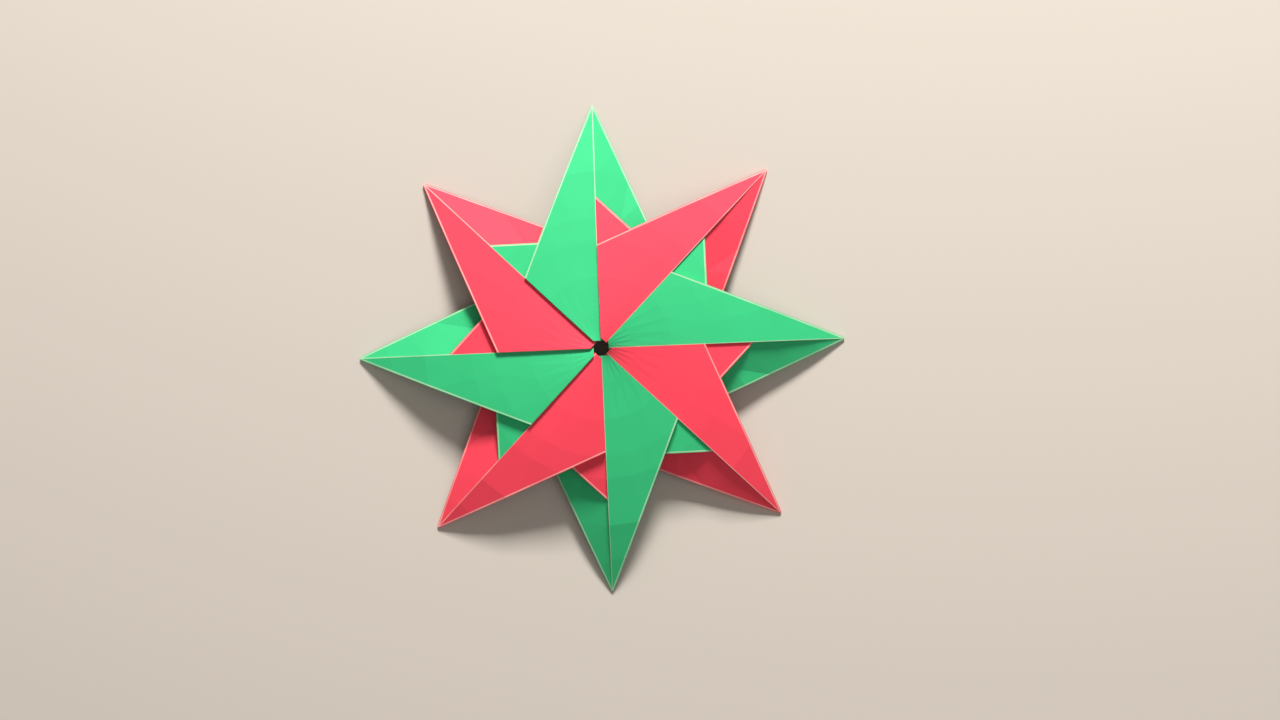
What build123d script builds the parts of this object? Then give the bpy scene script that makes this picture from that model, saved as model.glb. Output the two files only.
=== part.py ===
from build123d import *

import os
from math import atan, cos, degrees, hypot, radians, sin, sqrt, tan

# A star of eight folded paper squares, alternately green and red. Every square
# is folded to the same dart, and each dart's left wing is tucked into the
# pocket of the dart before it, all the way round. The star stands on its eight
# tips like a shallow dome. Millimetres, +Z up; the origin is on the table,
# under the centre. The first dart points along +Y, and the others follow it
# clockwise as seen from above.

# ---- driving dimensions ----
SHEET_SIDE = 75.0  # side of each square before folding
PAPER = 0.10  # thickness of one layer
LAYER_GAP = 0.03  # air between two layers that lie on each other
PULL_OUT = 1.6  # how far each dart stops short of the centre
DOME_RISE = 11.0  # height of the centre above the tips
RIGHT_SLOPE = 22.0  # degrees that each right half leans down sideways
TABLE_CLEARANCE = 0.4  # from the hidden right wings down to the table
TIP_WIDTH = 0.5  # width of the blunt tip, where the creases meet
REMNANT_SHY = 0.3  # from the neighbour's axis to the hidden raw edge behind the strip
UNITS = 8  # darts in the ring
SECTOR_STEPS = 4  # facets in each 45 degree sector of the folded surface

# ---- the dart in plan ----
PITCH = 360.0 / UNITS
LAYER = PAPER + LAYER_GAP
DART = SHEET_SIDE / sqrt(2.0) * cos(atan(DOME_RISE * sqrt(2.0) / SHEET_SIDE))
TIP_RADIUS = PULL_OUT + DART
WING = DART * tan(radians(22.5))  # half width of the dart at its foot
FLAP = DART * (1.0 - 1.0 / sqrt(2.0))  # where the first two creases end
CORNER = DART * (2.0 - sqrt(2.0))  # half width of the strip folded behind

# ---- layers, counted from the back of the dart ----
RAMP = 6 * LAYER  # a dart lies this much lower than the one it is tucked over
POCKET = RAMP + 3 * LAYER  # the left flap above the back, round a tucked wing
SHUT = 3 * LAYER  # the right flap above the back, and both at the tip


def at(x, y):
    """A point of the dart, measured from its foot, in the star's frame."""
    return (x, y + PULL_OUT)


def dome(radius):
    """Height of the star's surface, the same all the way round."""
    return DOME_RISE * (1.0 - (radius / TIP_RADIUS) ** 2)


# The far corner of a right wing is the lowest hidden point of a dart.
CORNER_RADIUS = hypot(*at(CORNER, WING))
CORNER_AZIMUTH = degrees(atan(CORNER / (WING + PULL_OUT)))
RIGHT_DROP = (
    dome(CORNER_RADIUS)
    - RAMP * CORNER_AZIMUTH / PITCH
    - 2 * LAYER
    - TABLE_CLEARANCE
)


def back(radius, azimuth):
    """Underside of the dart's back layer: a dome, ramped down clockwise."""
    aside = radius * sin(radians(azimuth))
    height = dome(radius) - RAMP * azimuth / PITCH
    if aside > 0:
        lean = aside * tan(radians(RIGHT_SLOPE))
        height -= lean * RIGHT_DROP / (lean**4 + RIGHT_DROP**4) ** 0.25
    return height


def pocket(radius, azimuth):
    """Underside of the left flap where it lies over the next dart's wing."""
    wing_end = hypot(*at(CORNER, WING))
    beyond = max(0.0, (radius - wing_end) / (TIP_RADIUS - wing_end))
    return back(radius, azimuth) + POCKET + (SHUT - POCKET) * beyond


def above(surface, layers):
    """The same surface, some layers higher or lower."""
    return lambda radius, azimuth: surface(radius, azimuth) + layers * LAYER


def slab(lower, upper):
    """Everything between two surfaces and one paper thickness on top."""
    rings = [PULL_OUT / 2, 2 * PULL_OUT, FLAP / 2, FLAP, WING + PULL_OUT]
    rings += [FLAP * sqrt(2) * 1.3, CORNER_RADIUS, (CORNER_RADIUS + TIP_RADIUS) / 2]
    rings += [TIP_RADIUS + PAPER]
    rays = [PITCH / SECTOR_STEPS * i for i in range(-2 * SECTOR_STEPS, 2 * SECTOR_STEPS + 1)]

    def vertex(surface, ring, ray, lift=0.0):
        radius, azimuth = rings[ring], rays[ray]
        plan = (radius * sin(radians(azimuth)), radius * cos(radians(azimuth)))
        return Vector(*plan, surface(radius, azimuth) + lift)

    def cell_corners(i, j):
        return ((i, j), (i + 1, j), (i + 1, j + 1)), ((i, j), (i + 1, j + 1), (i, j + 1))

    faces = []
    for i in range(len(rings) - 1):
        for j in range(len(rays) - 1):
            for corners in cell_corners(i, j):
                for surface, lift in ((lower, 0.0), (upper, PAPER)):
                    points = [vertex(surface, *corner, lift) for corner in corners]
                    faces.append(Face(Wire.make_polygon(points)))
    border = [(i, 0) for i in range(len(rings))]
    border += [(len(rings) - 1, j) for j in range(1, len(rays))]
    border += [(i, len(rays) - 1) for i in range(len(rings) - 2, -1, -1)]
    border += [(0, j) for j in range(len(rays) - 2, 0, -1)]
    for start, end in zip(border, border[1:] + border[:1]):
        points = [vertex(lower, *start), vertex(lower, *end)]
        points += [vertex(upper, *end, PAPER), vertex(upper, *start, PAPER)]
        faces.append(Face(Wire.make_polygon(points)))
    return Solid(Shell(faces))


def prism(points):
    """An upright prism over an outline, tall enough for every layer."""
    outline = Face(Wire.make_polygon([Vector(x, y, -DOME_RISE) for x, y in points]))
    return Solid.extrude(outline, Vector(0, 0, 4 * DOME_RISE))


# ---- outlines of the folded layers, tip up; side is -1 on the left ----
TIP = at(0, DART)
FOOT = at(0, 0)


def triangle(side, x, y):
    """From the tip to a corner to the foot."""
    return [TIP, at(side * x, y), FOOT]


def crease(side):
    """A strip one paper wide inside the slanted crease."""
    return [TIP, at(side * WING, 0), at(side * (WING - 1.1 * PAPER), 0), at(0, DART - 2.7 * PAPER)]


def foot_fold(x0, x1):
    """A strip one paper wide along the bottom fold."""
    return [at(x0, 0), at(x1, 0), at(x1, PAPER), at(x0, PAPER)]


def centre_fold(side):
    """A strip one paper wide along the folded central edge of a flap."""
    return [FOOT, TIP, at(side * PAPER, DART - 3 * PAPER), at(side * PAPER, 0)]


def piece(lower, upper, *outlines):
    """The slab between two surfaces, cut to one or more outlines."""
    body = slab(lower, upper)
    return [body & prism(outline) for outline in outlines]


def behind_neighbour():
    """Plan area on the left of the neighbour's axis, where the flap tucks under it."""
    reach = 2 * TIP_RADIUS
    edge = LAYER_GAP + PAPER
    start = (edge * sqrt(0.5), edge * sqrt(0.5))
    away = (start[0] - reach, start[1] + reach)
    return [start, away, (-reach, 0), (-reach, -reach), (start[0] + reach * 0.5, start[1] - reach * 0.5)]


def riser():
    """A strip beside the neighbour's axis, where the flap steps up over the wing."""
    reach = TIP_RADIUS
    near = LAYER_GAP * sqrt(0.5)
    far = (LAYER_GAP + PAPER) * sqrt(0.5)
    return [(near, near), (far, far), (far - reach, far + reach), (near - reach, near + reach)]


def dart():
    """One folded square as one solid, pointing along +Y."""
    left_wing = triangle(-1, WING, 0)
    right_wing = triangle(1, WING, 0)
    shy = PULL_OUT + REMNANT_SHY
    remnant = [
        [at(s * shy, 0), at(s * WING, 0), at(s * CORNER, WING), at(s * (DART + shy) / 2, (DART - shy) / 2)]
        for s in (-1, 1)
    ]
    strip = [at(-WING, 0), at(WING, 0), at(CORNER, WING), at(-CORNER, WING)]
    lining = [triangle(s, FLAP, FLAP) for s in (-1, 1)]
    inner = [[TIP, at(0, FLAP), at(s * FLAP, FLAP)] for s in (-1, 1)]

    solids = piece(back, back, [TIP, at(-WING, 0), at(WING, 0)])
    solids += piece(above(back, -1), above(back, -1), strip)
    solids += piece(above(back, -2), above(back, -2), *remnant)
    solids += piece(above(back, 1), above(back, 1), *inner)
    solids += piece(above(back, 2), above(back, 2), lining[1])
    solids += piece(above(back, 3), above(back, 3), right_wing)
    solids += piece(above(pocket, -1), above(pocket, -1), lining[0])
    tucked = piece(above(back, 1), above(back, 1), left_wing)[0]
    over = piece(pocket, pocket, left_wing)[0]
    step = piece(above(back, 1), pocket, left_wing)[0]
    solids += [tucked & prism(behind_neighbour()), over - prism(behind_neighbour())]
    solids += [step & prism(riser())]
    solids += piece(back, above(back, 3), crease(1))
    solids += [piece(back, pocket, crease(-1))[0] - prism(behind_neighbour())]
    solids += [piece(back, above(back, 1), crease(-1))[0] & prism(behind_neighbour())]
    solids += piece(above(back, -2), above(back, 3), foot_fold(0, WING))
    solids += [piece(above(back, -2), above(back, 1), foot_fold(-WING, 0))[0]]
    solids += [piece(above(back, -2), pocket, foot_fold(-WING, 0))[0] - prism(behind_neighbour())]
    solids += piece(above(back, 2), above(back, 3), centre_fold(1))
    solids += piece(above(pocket, -1), pocket, centre_fold(-1))
    whole = solids[0].fuse(*solids[1:])
    blunt = TIP_WIDTH / 2 / tan(radians(22.5))
    cutter = prism([at(-9, DART - blunt), at(9, DART - blunt), at(9, DART + 9), at(-9, DART + 9)])
    return whole - cutter


if __name__ == "__main__":
    os.makedirs("parts", exist_ok=True)
    first = dart()
    first = Pos(0, 0, -first.bounding_box().min.Z) * first
    for index in range(UNITS):
        colour = ("green", "red")[index % 2]
        name = f"{colour}_dart_{index // 2 + 1}"
        export_step(Rot(0, 0, -PITCH * index) * first, f"parts/{name}.step")
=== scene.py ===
"""Looks for a star of eight folded paper darts, alternately green and red."""

import math

import bpy
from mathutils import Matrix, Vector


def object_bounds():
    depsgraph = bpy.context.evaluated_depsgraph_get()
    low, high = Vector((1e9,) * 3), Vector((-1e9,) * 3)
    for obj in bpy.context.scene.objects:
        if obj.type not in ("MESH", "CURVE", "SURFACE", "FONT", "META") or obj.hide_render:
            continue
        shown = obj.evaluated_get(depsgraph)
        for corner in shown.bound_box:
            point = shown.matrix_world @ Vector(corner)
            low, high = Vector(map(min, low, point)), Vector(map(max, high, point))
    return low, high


bl_info = {
    "name": "Folded paper star",
    "version": (1, 0, 0),
    "blender": (4, 5, 0),
    "location": "View3D > Sidebar > Paper star",
    "description": "Finishes the folded darts of a paper star and sets its stage",
    "category": "Object",
}

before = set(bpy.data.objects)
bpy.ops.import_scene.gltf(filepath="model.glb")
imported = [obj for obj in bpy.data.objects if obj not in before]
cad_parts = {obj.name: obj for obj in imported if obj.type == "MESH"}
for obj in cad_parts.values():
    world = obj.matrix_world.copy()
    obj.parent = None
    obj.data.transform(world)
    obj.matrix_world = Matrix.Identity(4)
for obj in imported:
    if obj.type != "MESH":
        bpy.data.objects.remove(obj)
CAD_BOX = [list(corner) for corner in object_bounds()]

# Sizes of the dart, in metres. It points along +Y before it is turned to its place.
MM = 0.001
UNITS = 8
PITCH = math.radians(360 / UNITS)
PULL_OUT = 1.6 * MM  # how far each dart stops short of the centre
TIP_RADIUS = CAD_BOX[1][1]  # to the blunt tip, 0.6 mm short of where its outer creases would meet
HALF_TIP = math.radians(22.5)  # between a dart's centre line and its outer crease
CUT_EDGE_Y = PULL_OUT + (TIP_RADIUS - PULL_OUT) * math.tan(HALF_TIP)  # edge of the strip folded behind

# The picture is this many star widths wide, 280 mm on the table.
FRAME_PER_STAR = 2.6446
# The star is a little left of and above the middle of it, so the camera stands to the star's right
# and below its centre, by these shares of the picture's width.
CAMERA_RIGHT = 0.029
CAMERA_DOWN = 0.0102
CAMERA_ROLL = math.radians(-2.4)


def linear(code):
    """A #rrggbb sRGB colour as linear RGBA."""
    values = [int(code[i : i + 2], 16) / 255 for i in (1, 3, 5)]
    lit = [v / 12.92 if v <= 0.04045 else ((v + 0.055) / 1.055) ** 2.4 for v in values]
    return (*lit, 1.0)


class PaperStarSettings(bpy.types.PropertyGroup):
    """Colours and sizes of the star's paper, and the colours of its stage.

    A pixel is about 0.22 mm wide on the table. Real fibres and the pale lines at folds and cut edges are
    finer than that, so both are drawn as coarse as they need to be to show.
    """

    green: bpy.props.StringProperty(name="Green", description="Green paper, sRGB hex", default="#2fb673")
    red: bpy.props.StringProperty(name="Red", description="Red paper, sRGB hex", default="#ee3f52")
    # The pale inside of the paper, shown at the cut edge, and also painted along the folds as a highlight.
    core: bpy.props.StringProperty(name="Core", description="Pale core at folds and cuts", default="#f3e6d2")
    floor: bpy.props.StringProperty(name="Floor", description="Table colour, sRGB hex", default="#c0b6aa")
    room: bpy.props.StringProperty(name="Room", description="Light of the room, sRGB hex", default="#f4f2ee")
    fibre: bpy.props.FloatProperty(
        name="Fibre", description="Width of a clump of paper fibres", default=0.35 * MM, unit="LENGTH"
    )
    cloud: bpy.props.FloatProperty(
        name="Cloud", description="Width of a patch of uneven dye", default=9 * MM, unit="LENGTH"
    )
    relief: bpy.props.FloatProperty(
        name="Relief", description="Height of the fibres", default=0.02 * MM, unit="LENGTH"
    )
    # Width of the pale line: painted highlight along the folds, the pale inside of the paper at the cut
    # edge.
    core_and_highlight_line: bpy.props.FloatProperty(
        name="Pale line", description="Width of the pale line along a fold", default=0.2 * MM, unit="LENGTH"
    )


def math_node(nodes, links, operation, first, second=None, third=None, clamp=False):
    """A Math node fed by sockets or numbers; returns its output."""
    node = nodes.new("ShaderNodeMath")
    node.operation = operation
    node.use_clamp = clamp
    for socket, value in zip(node.inputs, (first, second, third)):
        if value is None:
            continue
        if isinstance(value, (int, float)):
            socket.default_value = value
        else:
            links.new(value, socket)
    return node.outputs[0]


def noise_node(nodes, links, place, width, detail):
    """Noise with lumps of the given width in metres; returns its output."""
    node = nodes.new("ShaderNodeTexNoise")
    node.inputs["Scale"].default_value = 1 / width
    node.inputs["Detail"].default_value = detail
    links.new(place, node.inputs["Vector"])
    return node.outputs["Fac"]


def line_mask(nodes, links, distance, width):
    """1 on a line and 0 from one width away on."""
    size = math_node(nodes, links, "ABSOLUTE", distance)
    share = math_node(nodes, links, "DIVIDE", size, width)
    return math_node(nodes, links, "SUBTRACT", 1.0, share, clamp=True)


def fold_lines(nodes, links, place, width):
    """1 where the paper is folded or cut: outer creases, central folds and the strip's cut edge.

    The creases are drawn from the blunt tip, so their lines and the cut edge's lie about 0.25 mm
    inside the real ones, about one pixel.
    """
    split = nodes.new("ShaderNodeSeparateXYZ")
    links.new(place, split.inputs[0])
    x, y = split.outputs[0], split.outputs[1]
    aside = math_node(nodes, links, "ABSOLUTE", x)
    along = math_node(nodes, links, "SUBTRACT", TIP_RADIUS, y)
    slanted = math_node(nodes, links, "MULTIPLY", along, math.sin(HALF_TIP))
    across = math_node(nodes, links, "MULTIPLY", aside, math.cos(HALF_TIP))
    inside = math_node(nodes, links, "SUBTRACT", slanted, across)
    crease = line_mask(nodes, links, inside, width)
    # The line down the centre is a little thinner than the outer ones.
    centre = line_mask(nodes, links, x, width * 0.8)
    edge = math_node(nodes, links, "SUBTRACT", y, CUT_EDGE_Y)
    outside = math_node(nodes, links, "LESS_THAN", inside, 0.0)
    cut = math_node(nodes, links, "MULTIPLY", line_mask(nodes, links, edge, width), outside)
    most = math_node(nodes, links, "MAXIMUM", crease, centre)
    return math_node(nodes, links, "MAXIMUM", most, cut)


def craft_paper(name, colour, settings, turn):
    """Dyed craft paper, machine made: matt, faintly fibrous, paler along its folds, where a highlight is
    painted, and along the cut edge, where its pale inside shows.

    turn brings Object coordinates back to those of a dart that points along +Y.
    """
    material = bpy.data.materials.new(name)
    material.use_nodes = True
    nodes, links = material.node_tree.nodes, material.node_tree.links
    shader = nodes["Principled BSDF"]
    shader.inputs["Roughness"].default_value = 0.72
    shader.inputs["IOR"].default_value = 1.45
    shader.inputs["Specular IOR Level"].default_value = 0.3
    shader.inputs["Sheen Weight"].default_value = 0.08
    place = nodes.new("ShaderNodeTexCoord").outputs["Object"]
    mapping = nodes.new("ShaderNodeMapping")
    mapping.inputs["Rotation"].default_value = (0, 0, turn)
    links.new(place, mapping.inputs["Vector"])
    clouds = noise_node(nodes, links, place, settings.cloud, detail=4)
    fibres = noise_node(nodes, links, place, settings.fibre, detail=3)

    # The dye is 5 % darker to 5 % lighter from patch to patch.
    shade = nodes.new("ShaderNodeHueSaturation")
    shade.inputs["Color"].default_value = linear(colour)
    brightness = math_node(nodes, links, "MULTIPLY_ADD", clouds, 0.10, 0.95)
    links.new(brightness, shade.inputs["Value"])

    # The pale line, a painted highlight along the folds and the paper's pale inside at the cut edge, is
    # stronger in some places than in others.
    core_and_highlight_line = fold_lines(nodes, links, mapping.outputs[0], settings.core_and_highlight_line)
    uneven = math_node(nodes, links, "MULTIPLY_ADD", clouds, 0.9, 0.05)
    core_and_highlight_share = math_node(nodes, links, "MULTIPLY", core_and_highlight_line, uneven)
    mix = nodes.new("ShaderNodeMix")
    mix.data_type = "RGBA"
    links.new(core_and_highlight_share, mix.inputs["Factor"])
    links.new(shade.outputs[0], mix.inputs["A"])
    # The pale colour painted on: highlight on the folds, the paper's pale inside on the cut edge.
    mix.inputs["B"].default_value = linear(settings.core)
    links.new(mix.outputs["Result"], shader.inputs["Base Color"])

    bump = nodes.new("ShaderNodeBump")
    bump.inputs["Strength"].default_value = 0.12
    bump.inputs["Distance"].default_value = settings.relief
    links.new(fibres, bump.inputs["Height"])
    links.new(bump.outputs[0], shader.inputs["Normal"])
    return material


def finish_darts(colour_name, colour, first):
    """Gives each dart of one colour its own paper. The first dart is that many steps clockwise of +Y."""
    settings = bpy.context.scene.paper_star
    for number in range(1, UNITS // 2 + 1):
        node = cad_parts[f"{colour_name}_dart_{number}"]
        turn = PITCH * (2 * (number - 1) + first)
        paper = craft_paper(f"dyed_craft_paper_{colour_name}_{number}", colour, settings, turn)
        node.data.materials.clear()
        node.data.materials.append(paper)


class PAPERSTAR_OT_green_darts(bpy.types.Operator):
    """Finish the green darts"""

    bl_idname = "paperstar.green_darts"
    bl_label = "Green darts"

    def execute(self, context):
        finish_darts("green", context.scene.paper_star.green, first=0)
        return {"FINISHED"}


class PAPERSTAR_OT_red_darts(bpy.types.Operator):
    """Finish the red darts"""

    bl_idname = "paperstar.red_darts"
    bl_label = "Red darts"

    def execute(self, context):
        finish_darts("red", context.scene.paper_star.red, first=1)
        return {"FINISHED"}


def painted_table(colour):
    """A wide matt table under the tips of the star, which is stage and no piece of it."""
    bpy.ops.object.select_all(action="DESELECT")
    bpy.ops.mesh.primitive_plane_add(size=3.0, location=(0, 0, CAD_BOX[0][2]))
    table = bpy.context.object
    table.name = "table"
    paint = bpy.data.materials.new("matt_painted_table")
    paint.use_nodes = True
    shader = paint.node_tree.nodes["Principled BSDF"]
    shader.inputs["Base Color"].default_value = linear(colour)
    shader.inputs["Roughness"].default_value = 0.8
    table.data.materials.append(paint)


def soft_lamp(name, azimuth, elevation, distance, size, power):
    """A square lamp that points at the star. Azimuth 0 is beyond the first tip, +90 to its right."""
    a, e = math.radians(azimuth), math.radians(elevation)
    lamp = bpy.data.lights.new(name, "AREA")
    lamp.size = size
    lamp.energy = power
    holder = bpy.data.objects.new(name, lamp)
    holder.location = (
        distance * math.sin(a) * math.cos(e),
        distance * math.cos(a) * math.cos(e),
        distance * math.sin(e),
    )
    holder.rotation_euler = (-holder.location).to_track_quat("-Z", "Y").to_euler()
    bpy.context.scene.collection.objects.link(holder)


def room_light(colour, strength):
    """Even light from all around."""
    world = bpy.data.worlds.new("room")
    world.use_nodes = True
    background = world.node_tree.nodes["Background"]
    background.inputs["Color"].default_value = linear(colour)
    background.inputs["Strength"].default_value = strength
    bpy.context.scene.world = world


def camera_above():
    """A camera that looks straight down on the star."""
    view = bpy.data.cameras.new("camera")
    view.lens = 50
    view.sensor_width = 36
    view.clip_start = 0.01
    width = FRAME_PER_STAR * 2 * TIP_RADIUS
    holder = bpy.data.objects.new("camera", view)
    holder.location = (width * CAMERA_RIGHT, -width * CAMERA_DOWN, width * view.lens / view.sensor_width)
    holder.rotation_euler = (0, 0, CAMERA_ROLL)
    bpy.context.scene.collection.objects.link(holder)
    bpy.context.scene.camera = holder


class PAPERSTAR_OT_stage(bpy.types.Operator):
    """Set the table, the lamps and the camera"""

    bl_idname = "paperstar.stage"
    bl_label = "Stage"

    def execute(self, context):
        settings = context.scene.paper_star
        painted_table(settings.floor)
        soft_lamp("window", azimuth=10, elevation=34, distance=0.9, size=0.20, power=15.0)
        soft_lamp("ceiling", azimuth=120, elevation=75, distance=1.1, size=0.9, power=2.6)
        room_light(settings.room, strength=0.2)
        camera_above()
        context.scene.view_settings.view_transform = "Standard"
        return {"FINISHED"}


class PAPERSTAR_PT_panel(bpy.types.Panel):
    """Lists what finishes the star"""

    bl_idname = "PAPERSTAR_PT_panel"
    bl_label = "Paper star"
    bl_space_type = "VIEW_3D"
    bl_region_type = "UI"
    bl_category = "Paper star"

    def draw(self, context):
        for name in PaperStarSettings.__annotations__:
            self.layout.prop(context.scene.paper_star, name)
        for operator in OPERATORS:
            self.layout.operator(operator.bl_idname)


OPERATORS = (PAPERSTAR_OT_green_darts, PAPERSTAR_OT_red_darts, PAPERSTAR_OT_stage)
CLASSES = (PaperStarSettings, *OPERATORS, PAPERSTAR_PT_panel)


def register():
    for cls in CLASSES:
        bpy.utils.register_class(cls)
    bpy.types.Scene.paper_star = bpy.props.PointerProperty(type=PaperStarSettings)


def unregister():
    del bpy.types.Scene.paper_star
    for cls in reversed(CLASSES):
        bpy.utils.unregister_class(cls)


def main():
    register()
    bpy.ops.paperstar.green_darts()
    bpy.ops.paperstar.red_darts()
    bpy.ops.paperstar.stage()


if __name__ == "__main__":
    main()
